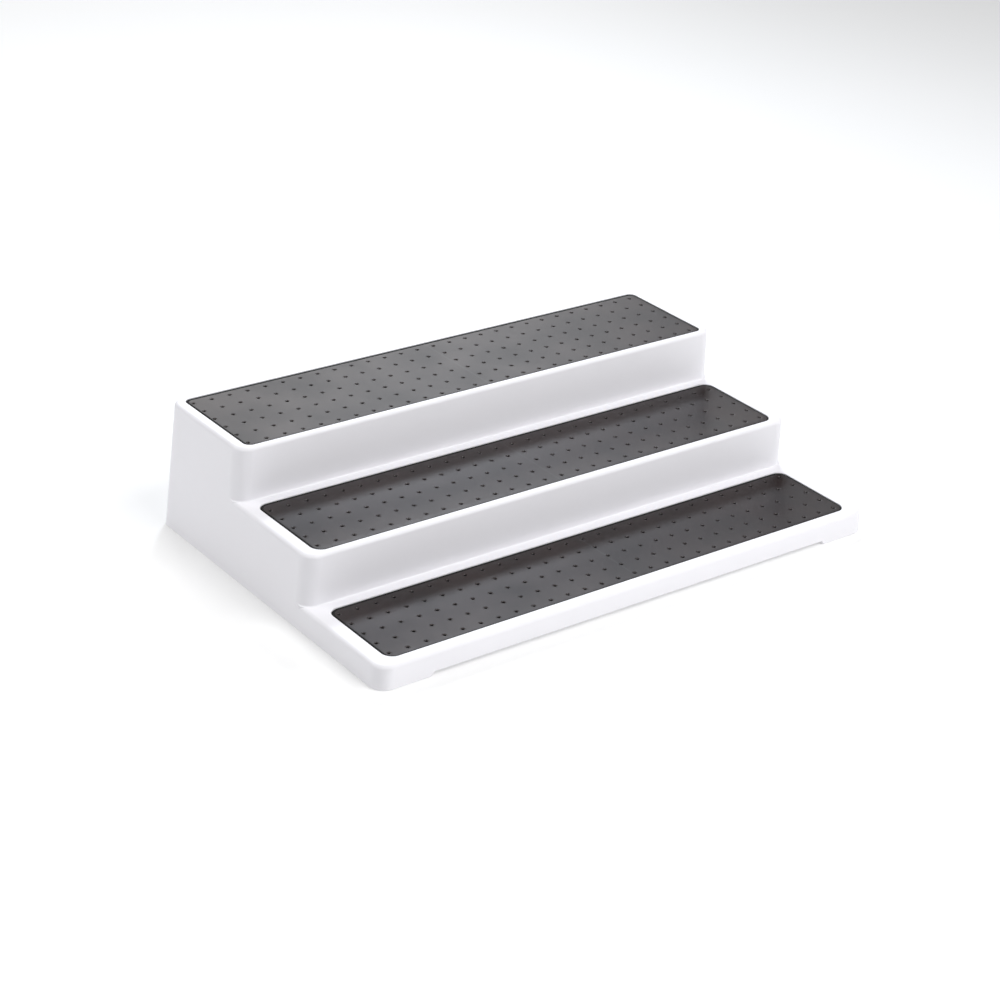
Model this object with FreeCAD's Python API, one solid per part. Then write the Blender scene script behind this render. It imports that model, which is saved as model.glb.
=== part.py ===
"""Tiered shelf riser: a one-piece stepped plastic shell, three soft mats set into its treads and
four soft foot pads.

Frame: +X along the treads, +Y from the low front tier to the tall back tier, +Z up.
The origin is at the centre of the footprint, on the surface that the riser stands on.
All lengths are in millimetres.
"""
import FreeCAD, Part
import math
import os

from FreeCAD import Vector

# ---------------------------------------------------------------- driving dimensions
WIDTH = 381.0            # outside, at the foot of the side walls
DEPTH = 241.0            # outside, at the foot of the front and back walls
WALL = 2.2               # the shell's wall
PAD_PROUD = 0.6          # how far the foot pads stand below the shell's lower edge

SIDE_SLOPE = 0.052       # how far the side walls lean in, per unit of height
BACK_SLOPE = 0.045       # the same for the back wall
RISER_SLOPE = 0.008      # the same for the front wall and the risers

CORNER_RADIUS = 9.5      # upright corners of every tier
RIM_RADIUS = 2.5         # rounded edge of each tread
COVE_RADIUS = 1.0        # hollow corner where a riser stands on the tread below

# Each tier: height of its tread, place of its front face at the shell's foot, front edge, depth and corner
# radius of its mat.
TIERS = {
    "bottom": dict(height=16.0, face=-DEPTH / 2, mat_front=-112.6, mat_depth=62.0, mat_corner=7.0),
    "middle": dict(height=49.2, face=-43.2, mat_front=-38.3, mat_depth=65.7, mat_corner=7.0),
    "top": dict(height=84.3, face=33.7, mat_front=38.0, mat_depth=73.7, mat_corner=4.5),
}
MAT_LENGTH = 358.2
MAT_THICKNESS = 2.0
MAT_SETBACK = 0.2        # the mat's top lies this far below the rim
MAT_EDGE_RADIUS = 0.5
MAT_CLEARANCE = 0.3      # all round, between the mat and the wall of its recess

FOOT_LENGTH = 36.0       # corner foot, along the front or back wall
SKIRT_LIFT = 2.6         # the wall between two feet stops this far above the shell's lower edge
SKIRT_BEVEL = 2.5        # slanted end of each foot

RIB_THICKNESS = 1.6
RIB_DEPTH = 6.0          # how far the ribs hang below the underside of a tread
RIB_COUNT = 5            # evenly spaced across the width

PAD_INSET = 14.0         # from the outside of the two walls to the pad's centre
PAD_RADIUS = 6.0
PAD_SEAT = 1.2           # depth of the round seat that holds the pad
STEM_RADIUS = 2.4
STEM_LENGTH = 6.0
BOSS_RADIUS = 8.0
BOSS_HEIGHT = 12.0
FIT_CLEARANCE = 0.1      # between a pad and its seat
LEVEL_TOLERANCE = 0.01   # an edge whose ends differ less in height is level
MARGIN = 1.0             # how far a cutting or searching solid reaches past what it is for

# ---------------------------------------------------------------- worked-out sizes
SHELL_FOOT = PAD_PROUD   # height of the shell's lower edge
RECESS_DEPTH = MAT_THICKNESS + MAT_SETBACK
HALF_WIDTH = WIDTH / 2
HALF_DEPTH = DEPTH / 2


def half_width_at(z):
    """Half of the outside width at height z."""
    return HALF_WIDTH - (z - SHELL_FOOT) * SIDE_SLOPE


def back_at(z):
    """Place of the back wall's outside at height z."""
    return HALF_DEPTH - (z - SHELL_FOOT) * BACK_SLOPE


def face_at(tier, z):
    """Place of a tier's front face at height z."""
    return tier["face"] + (z - SHELL_FOOT) * RISER_SLOPE


def hexahedron(low, high):
    """Solid between two level quadrilaterals, each given as its four corners in the same order."""
    sides = [[low[i], low[(i + 1) % 4], high[(i + 1) % 4], high[i]] for i in range(4)]
    shell = Part.Shell([Part.Face(Part.makePolygon(ring + ring[:1])) for ring in [low[::-1], high] + sides])
    shell.sewShape()
    return Part.Solid(shell)


def upright_edges(solid):
    """The edges that join two levels of a hexahedron."""
    return [e for e in solid.Edges if abs(e.Vertexes[0].Z - e.Vertexes[-1].Z) > LEVEL_TOLERANCE]


def edges_at_height(solid, z):
    """The edges that lie level at height z."""
    return [e for e in solid.Edges
            if max(abs(e.BoundBox.ZMin - z), abs(e.BoundBox.ZMax - z)) < LEVEL_TOLERANCE]


def block(tier, floor, top, inset):
    """A tier's tapering block between two heights, its walls moved inwards by inset, corners rounded."""
    def ring(z):
        x = half_width_at(z) - inset
        front, back = face_at(tier, z) + inset, back_at(z) - inset
        return [Vector(-x, front, z), Vector(x, front, z), Vector(x, back, z), Vector(-x, back, z)]
    solid = hexahedron(ring(floor), ring(top))
    return solid.makeFillet(CORNER_RADIUS - inset, upright_edges(solid))


def rounded_plate(x_half, front, back, bottom, top, radius):
    """A level plate with rounded corners."""
    plate = Part.makeBox(2 * x_half, back - front, top - bottom, Vector(-x_half, front, bottom))
    return plate.makeFillet(radius, upright_edges(plate))


def cove(tier, below):
    """The tier's block flared outwards where it stands on the tread below, cut flush with the walls."""
    z = below["height"]
    ground = Part.makeBox(3 * WIDTH, 3 * DEPTH, z - SHELL_FOOT,
                          Vector(-1.5 * WIDTH, -1.5 * DEPTH, SHELL_FOOT))
    standing = ground.fuse(block(tier, SHELL_FOOT, tier["height"], 0)).removeSplitter()
    front = face_at(tier, z)
    foot_edges = [e for e in edges_at_height(standing, z)
                  if e.BoundBox.YMin > front - MARGIN and e.BoundBox.YMax < HALF_DEPTH + MARGIN]
    flared = standing.makeFillet(COVE_RADIUS, foot_edges)
    reach = rounded_plate(half_width_at(z) + COVE_RADIUS, front - COVE_RADIUS, HALF_DEPTH,
                          SHELL_FOOT, z + 2 * COVE_RADIUS, CORNER_RADIUS + COVE_RADIUS)
    envelope = block(TIERS["bottom"], SHELL_FOOT, tier["height"], 0)
    return flared.common(reach).common(envelope)


def outer_form():
    """The shell's outside as one full solid."""
    tiers = list(TIERS.values())
    solids = []
    for tier in tiers:
        body = block(tier, SHELL_FOOT, tier["height"], 0)
        solids.append(body.makeFillet(RIM_RADIUS, edges_at_height(body, tier["height"])))
    for below, tier in zip(tiers, tiers[1:]):
        solids.append(cove(tier, below))
    return solids[0].fuse(solids[1:])


def recess(tier, grow, bottom, top):
    """The space that a tier's mat drops into, grown sideways by grow."""
    side = MAT_CLEARANCE + grow
    return rounded_plate(MAT_LENGTH / 2 + side, tier["mat_front"] - side,
                         tier["mat_front"] + tier["mat_depth"] + side, bottom, top, tier["mat_corner"] + side)


def hollow():
    """The open space under the shell, which steps up with the treads."""
    space = None
    for tier in TIERS.values():
        room = block(tier, SHELL_FOOT - WALL, tier["height"] - WALL, WALL)
        space = room if space is None else space.fuse(room)
    for tier in TIERS.values():
        floor = tier["height"] - RECESS_DEPTH
        space = space.cut(recess(tier, WALL, floor - WALL, tier["height"]))
    return space


def ribs(space):
    """Stiffening ribs from front to back that hang from the undersides of the treads."""
    ceiling_band = space.cut(space.translated(Vector(0, 0, -RIB_DEPTH)))
    spacing = WIDTH / (RIB_COUNT + 1)
    plates = []
    for i in range(RIB_COUNT):
        x = -HALF_WIDTH + spacing * (i + 1)
        plates.append(Part.makeBox(RIB_THICKNESS, DEPTH, TIERS["top"]["height"],
                                   Vector(x - RIB_THICKNESS / 2, -HALF_DEPTH, SHELL_FOOT)))
    return Part.makeCompound([ceiling_band.common(plate) for plate in plates])


def pad_places():
    """Name and centre of each of the four foot pads."""
    for y_name, y_sign in (("front", -1), ("rear", 1)):
        for x_name, x_sign in (("left", -1), ("right", 1)):
            centre = Vector(x_sign * (HALF_WIDTH - PAD_INSET), y_sign * (HALF_DEPTH - PAD_INSET), 0)
            yield y_name + "_" + x_name + "_foot_pad", centre


def pad_boss(centre):
    """The round boss that holds one foot pad, tied to the two walls of its corner."""
    boss = Part.makeCylinder(BOSS_RADIUS, BOSS_HEIGHT, centre + Vector(0, 0, SHELL_FOOT))
    for axis in (Vector(1, 0, 0), Vector(0, 1, 0)):
        outward = axis * math.copysign(1, centre.dot(axis))
        size = Vector(PAD_INSET, RIB_THICKNESS, 0) if axis.x else Vector(RIB_THICKNESS, PAD_INSET, 0)
        middle = centre + outward * (PAD_INSET / 2)
        corner = middle - size * 0.5 + Vector(0, 0, SHELL_FOOT)
        boss = boss.fuse(Part.makeBox(size.x, size.y, BOSS_HEIGHT, corner))
    return boss


def pad_solid(centre, grow):
    """A foot pad: a round disc with a stem above it. grow widens it into the seat that it fits."""
    seat_floor = SHELL_FOOT + PAD_SEAT
    disc = Part.makeCylinder(PAD_RADIUS + grow, seat_floor, centre)
    stem = Part.makeCylinder(STEM_RADIUS + grow, STEM_LENGTH + grow, centre + Vector(0, 0, seat_floor))
    return disc.fuse(stem).removeSplitter()


def skirt_notch(y_sign):
    """What is cut from the front or back wall between its two feet."""
    reach = HALF_WIDTH - FOOT_LENGTH
    top = SHELL_FOOT + SKIRT_LIFT
    outline = [(-reach, 0), (-reach + SKIRT_BEVEL, top), (reach - SKIRT_BEVEL, top), (reach, 0)]
    points = [Vector(x, 0, z) for x, z in outline]
    face = Part.Face(Part.makePolygon(points + points[:1]))
    thickness = 3 * WALL
    start = y_sign * (HALF_DEPTH - thickness)
    return face.extrude(Vector(0, 2 * thickness * y_sign, 0)).translated(Vector(0, start, 0))


def make_shell():
    """The one-piece shell with its recesses, hollow underside, ribs and pad seats."""
    outside = outer_form()
    space = hollow()
    shell = outside.cut(space)
    bosses = [pad_boss(centre).common(outside) for _, centre in pad_places()]
    shell = shell.fuse([ribs(space)] + bosses)
    cuts = [recess(tier, 0, tier["height"] - RECESS_DEPTH, tier["height"] + MARGIN)
            for tier in TIERS.values()]
    cuts += [pad_solid(centre, FIT_CLEARANCE) for _, centre in pad_places()]
    cuts += [skirt_notch(sign) for sign in (-1, 1)]
    return shell.cut(cuts).removeSplitter()


def make_mat(tier):
    """One soft mat, lying on the floor of its recess."""
    bottom = tier["height"] - RECESS_DEPTH
    plate = rounded_plate(MAT_LENGTH / 2, tier["mat_front"], tier["mat_front"] + tier["mat_depth"],
                          bottom, bottom + MAT_THICKNESS, tier["mat_corner"])
    return plate.makeFillet(MAT_EDGE_RADIUS, edges_at_height(plate, bottom + MAT_THICKNESS))


def make_parts():
    """Every piece by its name."""
    parts = {"shell": make_shell()}
    for name, tier in TIERS.items():
        parts[name + "_mat"] = make_mat(tier)
    for name, centre in pad_places():
        parts[name] = pad_solid(centre, 0)
    return parts


os.makedirs("parts", exist_ok=True)
for node, shape in make_parts().items():
    solid = shape.Solids[0] if len(shape.Solids) == 1 else shape
    print(node, "solids", len(shape.Solids), "valid", shape.isValid(), "volume", round(shape.Volume))
    solid.exportStep("parts/" + node + ".step")
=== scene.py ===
"""Looks of a tiered shelf riser: a white moulded shell, three dimpled grey mats and four foot pads.

Everything is in metres, in the frame of the CAD model: +X along the treads, +Y from the low front
tier to the tall back tier, +Z up, origin at the centre of the footprint.
"""
import math

import bmesh
import bpy
from mathutils import Euler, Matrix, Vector


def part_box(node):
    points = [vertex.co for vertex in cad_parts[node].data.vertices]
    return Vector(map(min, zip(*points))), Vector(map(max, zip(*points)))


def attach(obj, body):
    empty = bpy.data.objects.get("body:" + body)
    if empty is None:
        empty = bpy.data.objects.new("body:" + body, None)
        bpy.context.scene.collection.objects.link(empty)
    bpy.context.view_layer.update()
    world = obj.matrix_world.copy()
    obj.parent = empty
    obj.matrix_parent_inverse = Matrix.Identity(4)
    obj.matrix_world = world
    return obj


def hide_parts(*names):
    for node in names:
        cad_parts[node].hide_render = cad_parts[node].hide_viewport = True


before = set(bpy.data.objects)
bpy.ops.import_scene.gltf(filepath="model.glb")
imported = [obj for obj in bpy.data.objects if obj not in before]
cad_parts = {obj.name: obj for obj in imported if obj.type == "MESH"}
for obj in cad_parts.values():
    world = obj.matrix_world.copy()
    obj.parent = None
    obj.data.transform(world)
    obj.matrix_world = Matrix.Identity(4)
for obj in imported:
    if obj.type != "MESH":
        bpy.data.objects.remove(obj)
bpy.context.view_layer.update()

MM = 0.001

# ---------------------------------------------------------------- the mats' shapes
MAT_EDGE_RADIUS = 0.5 * MM
EDGE_STEPS = 4               # rings of faces round the edge
CORNER_STEPS = 6             # segments of each rounded corner
SIDE_STEPS = 6               # segments of each side of a dimple's cell
WELD = 0.001 * MM            # points nearer than this are one point

# Dimples stand in a grid, counted from the mat's left front corner.
PITCH_X = 12.885 * MM
PITCH_Y = 12.6 * MM
COLUMNS = 28

# A dimple's section from its lip inwards: distance from its centre, height over the mat's face.
DIMPLE = [
    (1.75 * MM, 0.0 * MM),
    (1.36 * MM, 0.0 * MM),
    (1.32 * MM, -0.04 * MM),
    (1.14 * MM, -0.24 * MM),
    (0.96 * MM, -0.44 * MM),
    (0.9 * MM, -0.8 * MM),
    (0.85 * MM, -1.2 * MM),
]
DIMPLE_DEPTH = 1.25 * MM

# corner: radius of the mat's corners, seen from above. rows: rows of dimples, from front to back.
# first: centre of the first dimple, from the left front corner. crease: place of the paler line along X.
# sag: depth of the dish that its bump shows. roughness: that of its face.
MATS = {
    "bottom_mat": dict(corner=7.0 * MM, rows=5, first=(4.0 * MM, 5.1 * MM), crease=4.0 * MM,
                       sag=0.9 * MM, roughness=0.5),
    "middle_mat": dict(corner=7.0 * MM, rows=5, first=(4.5 * MM, 6.4 * MM), crease=1.0 * MM,
                       sag=0.8 * MM, roughness=0.45),
    "top_mat": dict(corner=4.5 * MM, rows=6, first=(3.0 * MM, 3.8 * MM), crease=0.7 * MM,
                    sag=0.0 * MM, roughness=0.5),
}

# ---------------------------------------------------------------- the mats' finish
MAT_COLOURS = (0.0145, 0.0055, 0.0045, 1), (0.01, 0.0055, 0.0055, 1)
MAT_SMOOTHER = 0.02                 # how far its roughness falls in patches
MAT_ROUGHER = 0.03                  # how far it rises
CREASE_COLOUR = (0.035, 0.034, 0.034, 1)
CREASE_MIX = 0.35                   # share of that colour in the paler line
CREASE_HALF_WIDTH = 0.2 * MM
CREASE_END = 1.0 * MM               # distance from the line's middle at which it has faded out
# Painted shade: black colour in a band round each mat's edge and in its dimples' floors, where shade falls.
PAINTED_SHADE_BLACK = (0.004, 0.004, 0.004, 1)    # colour of the painted shade on the mat's border and in the floors of its dimples
PAINTED_SHADE_WIDTH = 1.3 * MM
PAINTED_SHADE_FADE = 0.4 * MM
PAINTED_SHADE_SHIFT = 0.7 * MM             # added to the painted shade band's width behind, and taken from it in front
PAINTED_SHADE_DEPTHS = 0.4 * MM, 0.6 * MM   # depths between which a dimple turns black with painted shade
GLOSS_DEPTHS = 0.02 * MM, 0.1 * MM  # depths between which it turns glossier
GLOSS_GAIN = 0.14                   # how much less rough a dimple's wall is than the mat's face

# ---------------------------------------------------------------- node sockets and ranges
NOISE_LOW = 0.3                    # the usual range of a noise texture
NOISE_HIGH = 0.7
MIX_FACTOR = 0                     # a colour mix has sockets of the same name for other kinds of data
MIX_FIRST = 6
MIX_SECOND = 7
MIX_RESULT = 2

# ---------------------------------------------------------------- camera, lights and floor
CAMERA_AIM = Vector((0.0, 20.0, 13.4)) * MM
CAMERA_DISTANCE = 1499.3 * MM
CAMERA_AZIMUTH = math.radians(-38.96)     # from straight in front, towards the left
CAMERA_ELEVATION = math.radians(26.89)
CAMERA_ROLL = math.radians(3.92)
CAMERA_LENS_MM = 84.32

# Square soft boxes. key and back make the mats' sheen, from behind, and the others mostly light the shell.
LIGHTS = {
    "key": dict(place=(0.54, 0.70, 0.98), size=0.22, watts=6.6, tint=(0.85, 0.915, 1.0)),
    "back": dict(place=(2.46, 4.93, 1.57), size=3.1, watts=104.0, tint=(1, 1, 1)),
    "front_high": dict(place=(0.35, -1.15, 1.4), size=1.3, watts=34.5, tint=(1, 1, 1)),
    "top": dict(place=(0.1, -0.3, 1.8), size=1.2, watts=4.0, tint=(1, 1, 1)),
    "left_back": dict(place=(-1.5, 0.9, 1.0), size=1.1, watts=19.0, tint=(1, 1, 1)),
}
SKY_STRENGTH = 0.0                 # all light comes from the soft boxes and the floor's glow
FLOOR_HALF = 6.0
FLOOR_GLOW = 0.34


# ---------------------------------------------------------------- materials
class Finish:
    """A material's node tree that ends in one principled shader, with short ways to add to it."""

    def __init__(self, name):
        self.material = bpy.data.materials.new(name)
        self.material.use_nodes = True
        self.tree = self.material.node_tree
        self.shader = self.tree.nodes["Principled BSDF"]
        self.place = self.add("ShaderNodeTexCoord").outputs["Object"]

    def fill(self, socket, value):
        """Gives a socket a value, or links it to another node's output."""
        if isinstance(value, bpy.types.NodeSocket):
            self.tree.links.new(value, socket)
        else:
            socket.default_value = value

    def add(self, kind, inputs=(), **settings):
        """A new node. inputs are (socket, value or output) pairs."""
        node = self.tree.nodes.new(kind)
        for key, value in settings.items():
            setattr(node, key, value)
        for socket, value in inputs:
            self.fill(node.inputs[socket], value)
        return node

    def set(self, **values):
        """Fills the shader's own sockets, named with underscores for spaces."""
        for key, value in values.items():
            self.fill(self.shader.inputs[key.replace("_", " ")], value)

    def noise(self, size, detail=2.0, roughness=0.5):
        """Noise whose spots are about size metres across, from 0 to 1."""
        inputs = [("Vector", self.place), ("Scale", 1 / size), ("Detail", detail), ("Roughness", roughness)]
        return self.add("ShaderNodeTexNoise", inputs).outputs["Fac"]

    def ramp(self, value, start, end, low=0.0, high=1.0):
        """A number that runs from low to high as value runs from start to end."""
        inputs = [("Value", value), ("From Min", start), ("From Max", end), ("To Min", low), ("To Max", high)]
        return self.add("ShaderNodeMapRange", inputs).outputs[0]

    def between(self, noise, low, high):
        """A number that runs from low to high over noise's usual range."""
        return self.ramp(noise, NOISE_LOW, NOISE_HIGH, low, high)

    def blend(self, factor, first, second):
        """A colour between two others."""
        inputs = [(MIX_FACTOR, factor), (MIX_FIRST, first), (MIX_SECOND, second)]
        return self.add("ShaderNodeMix", inputs, data_type="RGBA").outputs[MIX_RESULT]

    def math(self, operation, first, second=0.0):
        """The result of one sum."""
        return self.add("ShaderNodeMath", [(0, first), (1, second)], operation=operation).outputs[0]

    def vector(self, operation, first, second=(0, 0, 0)):
        """The result of one sum of vectors, which is a plain number for a length."""
        node = self.add("ShaderNodeVectorMath", [(0, first), (1, second)], operation=operation)
        return node.outputs["Value" if operation == "LENGTH" else "Vector"]

    def bump(self, height, distance, strength, below=None):
        """A bump, laid on the bump below it."""
        inputs = [("Height", height), ("Distance", distance), ("Strength", strength)]
        if below is not None:
            inputs.append(("Normal", below))
        return self.add("ShaderNodeBump", inputs).outputs[0]


def white_plastic():
    """Moulded white plastic: even satin gloss, fine orange peel, slight waves, barely uneven colour."""
    finish = Finish("white_plastic")
    patches = finish.noise(size=45 * MM, detail=3.0)
    specks = finish.noise(size=1.6 * MM)
    peel = finish.noise(size=1.1 * MM)
    waves = finish.noise(size=28 * MM, detail=1.0)
    wavy = finish.bump(waves, distance=0.12 * MM, strength=0.25)
    finish.set(
        Base_Color=finish.blend(patches, first=(0.805, 0.797, 0.83, 1), second=(0.825, 0.817, 0.85, 1)),
        Roughness=finish.between(specks, low=0.42, high=0.48),
        IOR=1.46,
        Normal=finish.bump(peel, distance=0.02 * MM, strength=0.3, below=wavy),
    )
    return finish.material


def outline_inset(finish, middle, half, corner):
    """How far a point lies inside a rectangle with rounded corners, given by its middle and half its size."""
    level = finish.vector("MULTIPLY", finish.vector("SUBTRACT", finish.place, middle), (1, 1, 0))
    straight = (half.x - corner, half.y - corner, 0)
    beyond = finish.vector("SUBTRACT", finish.vector("ABSOLUTE", level), straight)
    return finish.math("SUBTRACT", corner, finish.vector("LENGTH", finish.vector("MAXIMUM", beyond)))


def grey_mat(name, low, high, corner, crease, sag, roughness):
    """Soft satin sheet: fine matt grain, slightly uneven sheen, a faint paler line across its middle, a
    dish from front to back, dimples with glossier walls, and black painted shade in the dimples' floors and
    round its edge."""
    finish = Finish(name)
    patches = finish.noise(size=30 * MM, detail=3.0)
    grain = finish.noise(size=0.5 * MM, detail=3.0, roughness=0.6)
    spot = finish.add("ShaderNodeSeparateXYZ", [("Vector", finish.place)]).outputs
    depth = finish.math("SUBTRACT", high.z, spot["Z"])
    middle, half = (low + high) / 2, (high - low) / 2

    face = finish.blend(finish.between(patches, low=0.0, high=1.0), *MAT_COLOURS)
    from_crease = finish.math("ABSOLUTE", finish.math("SUBTRACT", spot["X"], crease))
    paler = finish.ramp(from_crease, CREASE_HALF_WIDTH, CREASE_END, low=CREASE_MIX, high=0.0)
    colour = finish.blend(paler, face, CREASE_COLOUR)

    # Painted shade: a black band round the mat's edge, wider behind, and black floors deep in the dimples.
    inset = outline_inset(finish, middle - Vector((0, PAINTED_SHADE_SHIFT, 0)), half, corner)
    border = finish.ramp(inset, PAINTED_SHADE_WIDTH, PAINTED_SHADE_WIDTH + PAINTED_SHADE_FADE, low=1.0, high=0.0)
    painted_shade_mask = finish.math("MAXIMUM", border, finish.ramp(depth, *PAINTED_SHADE_DEPTHS))

    uneven = finish.between(patches, low=roughness - MAT_SMOOTHER, high=roughness + MAT_ROUGHER)
    satin = finish.math("SUBTRACT", uneven, finish.ramp(depth, *GLOSS_DEPTHS, low=0.0, high=GLOSS_GAIN))

    off_middle = finish.math("DIVIDE", finish.math("SUBTRACT", spot["Y"], middle.y), half.y)
    dish = finish.bump(finish.math("MULTIPLY", off_middle, off_middle), distance=sag, strength=1.0)
    finish.set(
        Base_Color=finish.blend(painted_shade_mask, colour, PAINTED_SHADE_BLACK),
        Roughness=finish.math("MAXIMUM", satin, painted_shade_mask),
        IOR=1.5,
        Normal=finish.bump(grain, distance=0.03 * MM, strength=0.5, below=dish),
    )
    return finish.material


def foot_rubber():
    """Soft matt grey rubber with a fine grain."""
    finish = Finish("foot_rubber")
    grain = finish.noise(size=0.4 * MM)
    patches = finish.noise(size=4 * MM)
    finish.set(
        Base_Color=finish.blend(patches, first=(0.15, 0.15, 0.155, 1), second=(0.18, 0.18, 0.185, 1)),
        Roughness=finish.between(grain, low=0.6, high=0.75),
        Normal=finish.bump(grain, distance=0.03 * MM, strength=0.4),
    )
    return finish.material


def pale_floor():
    """Pale matt studio floor, which glows so that the shadow on it stays faint."""
    finish = Finish("pale_floor")
    patches = finish.noise(size=400 * MM)
    finish.set(
        Base_Color=finish.blend(patches, first=(0.59, 0.59, 0.59, 1), second=(0.61, 0.61, 0.61, 1)),
        Roughness=0.6,
        Emission_Color=(1.0, 1.0, 1.0, 1),
        Emission_Strength=FLOOR_GLOW,
    )
    return finish.material


# ---------------------------------------------------------------- pieces
def add_object(name, data):
    """A new object in the scene."""
    thing = bpy.data.objects.new(name, data)
    bpy.context.scene.collection.objects.link(thing)
    return thing


def dress(node, material):
    """Gives a CAD node its finish."""
    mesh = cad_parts[node].data
    mesh.materials.clear()
    mesh.materials.append(material)


def cell_borders(low, high, first, pitch, count):
    """Where the cells round a row of dimples begin and end, the outer ones reaching the mat's edge."""
    return [low] + [first + pitch * (i + 0.5) for i in range(count - 1)] + [high]


def arc(centre, radius, start, steps):
    """Points of a quarter turn, counter-clockwise."""
    angles = [start + math.pi / 2 * i / steps for i in range(steps + 1)]
    return [(centre[0] + radius * math.cos(a), centre[1] + radius * math.sin(a)) for a in angles]


def cell_outline(x_ends, y_ends, rounded, radius):
    """Counter-clockwise border of a cell, from its left front corner. rounded says, for each of its
    corners, whether it is also one of the mat's own."""
    turns = []
    for i, (right, back) in enumerate([(0, 0), (1, 0), (1, 1), (0, 1)]):
        x, y = x_ends[right], y_ends[back]
        if rounded[i]:
            centre = (x - radius if right else x + radius, y - radius if back else y + radius)
            turns.append(arc(centre, radius, math.pi + i * math.pi / 2, CORNER_STEPS))
        else:
            turns.append([(x, y)])
    outline = []
    for i, turn in enumerate(turns):
        start, end = Vector(turn[-1]), Vector(turns[(i + 1) % 4][0])
        outline += turn
        outline += [tuple(start.lerp(end, k / SIDE_STEPS)) for k in range(1, SIDE_STEPS)]
    return outline


def add_cell(bm, outline, centre, top):
    """The faces of one cell: its flat surround, the dimple's lip and the dimple."""
    ring = [bm.verts.new((x, y, top)) for x, y in outline]
    directions = [(Vector(point) - Vector(centre)).normalized() for point in outline]
    for radius, height in DIMPLE:
        inner = [bm.verts.new((centre[0] + d.x * radius, centre[1] + d.y * radius, top + height))
                 for d in directions]
        for i in range(len(ring)):
            j = (i + 1) % len(ring)
            bm.faces.new((ring[i], ring[j], inner[j], inner[i]))
        ring = inner
    middle = bm.verts.new((centre[0], centre[1], top - DIMPLE_DEPTH))
    for i in range(len(ring)):
        bm.faces.new((ring[i], ring[(i + 1) % len(ring)], middle))


def add_cells(bm, low, high, corner, rows, first):
    """The mat's upper face, as one cell round each dimple."""
    edge = MAT_EDGE_RADIUS
    start = (low.x + first[0], low.y + first[1])
    x_borders = cell_borders(low.x + edge, high.x - edge, start[0], PITCH_X, COLUMNS)
    y_borders = cell_borders(low.y + edge, high.y - edge, start[1], PITCH_Y, rows)
    for column in range(COLUMNS):
        for row in range(rows):
            left, right = column == 0, column == COLUMNS - 1
            front, back = row == 0, row == rows - 1
            rounded = [left and front, right and front, right and back, left and back]
            x_ends, y_ends = x_borders[column:column + 2], y_borders[row:row + 2]
            outline = cell_outline(x_ends, y_ends, rounded, corner - edge)
            add_cell(bm, outline, (start[0] + column * PITCH_X, start[1] + row * PITCH_Y), high.z)
    bmesh.ops.remove_doubles(bm, verts=bm.verts, dist=WELD)


def close_below(bm, low, high, corner):
    """Rounds the mat's upper edge and closes its side and its underside."""
    centre = (low + high) / 2
    straight = Vector((high.x - low.x, high.y - low.y)) / 2 - Vector((corner, corner))
    profile = []
    for i in range(1, EDGE_STEPS + 1):
        angle = math.pi / 2 * i / EDGE_STEPS
        profile.append((MAT_EDGE_RADIUS * math.sin(angle), MAT_EDGE_RADIUS * (1 - math.cos(angle))))
    profile.append((MAT_EDGE_RADIUS, high.z - low.z))
    rim = [edge for edge in bm.edges if edge.is_boundary]
    last_out, last_down = 0.0, 0.0
    for out, down in profile:
        extruded = bmesh.ops.extrude_edge_only(bm, edges=rim)["geom"]
        rim = [part for part in extruded if isinstance(part, bmesh.types.BMEdge) and part.is_boundary]
        for vert in {v for edge in rim for v in edge.verts}:
            x, y = vert.co.x - centre.x, vert.co.y - centre.y
            nearest = Vector((max(-straight.x, min(straight.x, x)), max(-straight.y, min(straight.y, y))))
            outward = (Vector((x, y)) - nearest).normalized()
            step = out - last_out
            vert.co += Vector((outward.x * step, outward.y * step, last_down - down))
        last_out, last_down = out, down
    bmesh.ops.contextual_create(bm, geom=rim)


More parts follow.
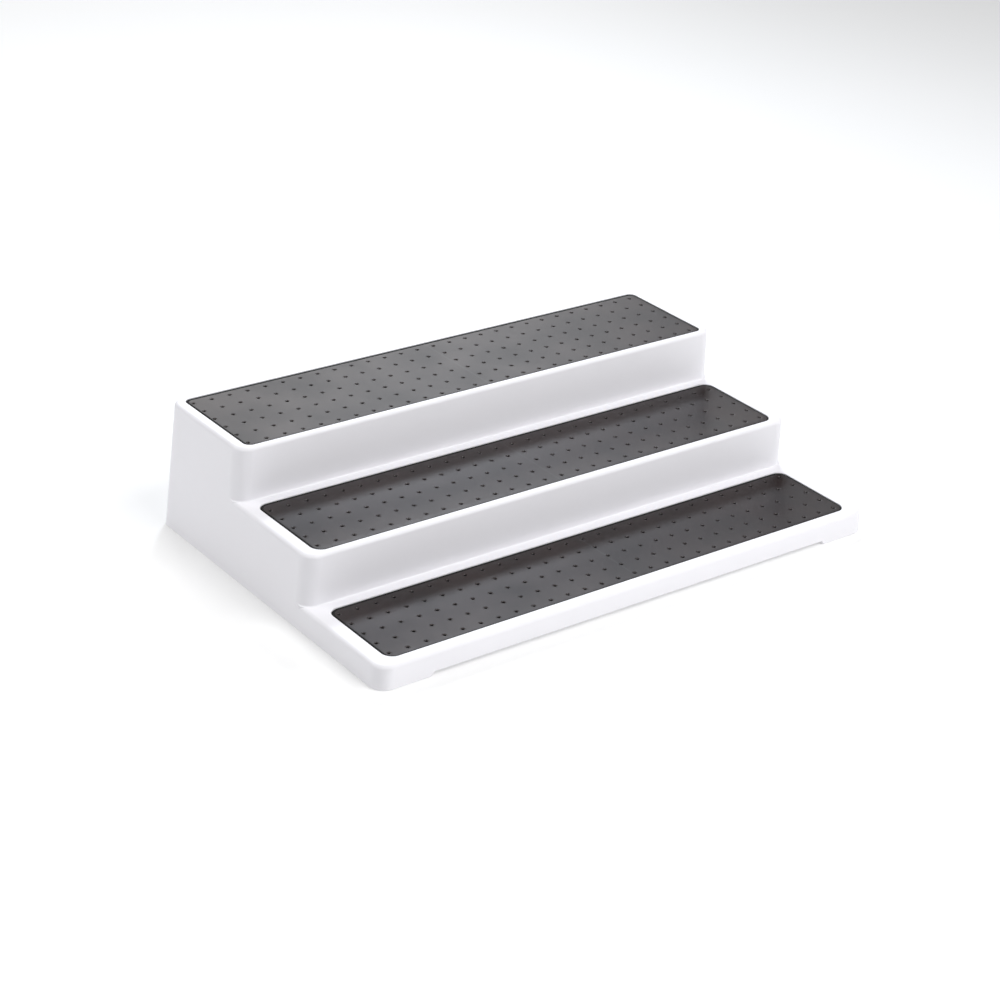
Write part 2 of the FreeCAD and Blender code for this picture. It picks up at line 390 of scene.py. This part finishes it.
def build_mat(node, corner, rows, first, **look):
    """A mat with its dimples, in place of the plain CAD plate."""
    low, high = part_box(node)
    bm = bmesh.new()
    add_cells(bm, low, high, corner, rows, first)
    close_below(bm, low, high, corner)
    bmesh.ops.recalc_face_normals(bm, faces=bm.faces)
    mesh = bpy.data.meshes.new(node + "_dimpled")
    bm.to_mesh(mesh)
    bm.free()
    mesh.shade_smooth()
    mesh.materials.append(grey_mat(node + "_sheet", low, high, corner, **look))
    piece = add_object(node + "_dimpled", mesh)
    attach(piece, "root")
    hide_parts(node)


# ---------------------------------------------------------------- stage
def add_floor():
    """A wide pale floor."""
    mesh = bpy.data.meshes.new("floor")
    corners = [(-FLOOR_HALF, -FLOOR_HALF, 0), (FLOOR_HALF, -FLOOR_HALF, 0),
               (FLOOR_HALF, FLOOR_HALF, 0), (-FLOOR_HALF, FLOOR_HALF, 0)]
    mesh.from_pydata(corners, [], [(0, 1, 2, 3)])
    mesh.materials.append(pale_floor())
    add_object("floor", mesh)


def add_lights():
    """Soft boxes that face the riser, under a dark sky."""
    for name, light in LIGHTS.items():
        data = bpy.data.lights.new(name, "AREA")
        data.energy = light["watts"]
        data.size = light["size"]
        data.color = light["tint"]
        lamp = add_object(name, data)
        lamp.location = light["place"]
        lamp.rotation_euler = (CAMERA_AIM - lamp.location).to_track_quat("-Z", "Y").to_euler()
    world = bpy.data.worlds.new("sky")
    world.use_nodes = True
    world.node_tree.nodes["Background"].inputs["Strength"].default_value = SKY_STRENGTH
    bpy.context.scene.world = world


def add_camera():
    """The camera, in front of the riser's left end and above it."""
    data = bpy.data.cameras.new("camera")
    data.lens = CAMERA_LENS_MM
    camera = add_object("camera", data)
    level = math.cos(CAMERA_ELEVATION)
    back = Vector((math.sin(CAMERA_AZIMUTH) * level, -math.cos(CAMERA_AZIMUTH) * level,
                   math.sin(CAMERA_ELEVATION)))
    camera.location = CAMERA_AIM + back * CAMERA_DISTANCE
    facing = (-back).to_track_quat("-Z", "Y").to_matrix()
    camera.rotation_euler = (facing @ Euler((0, 0, CAMERA_ROLL)).to_matrix()).to_euler()
    bpy.context.scene.camera = camera
    bpy.context.scene.view_settings.view_transform = "Standard"


dress("shell", white_plastic())
rubber = foot_rubber()
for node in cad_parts:
    if node.endswith("_foot_pad"):
        dress(node, rubber)
for node, layout in MATS.items():
    build_mat(node, **layout)

add_floor()
add_lights()
add_camera()
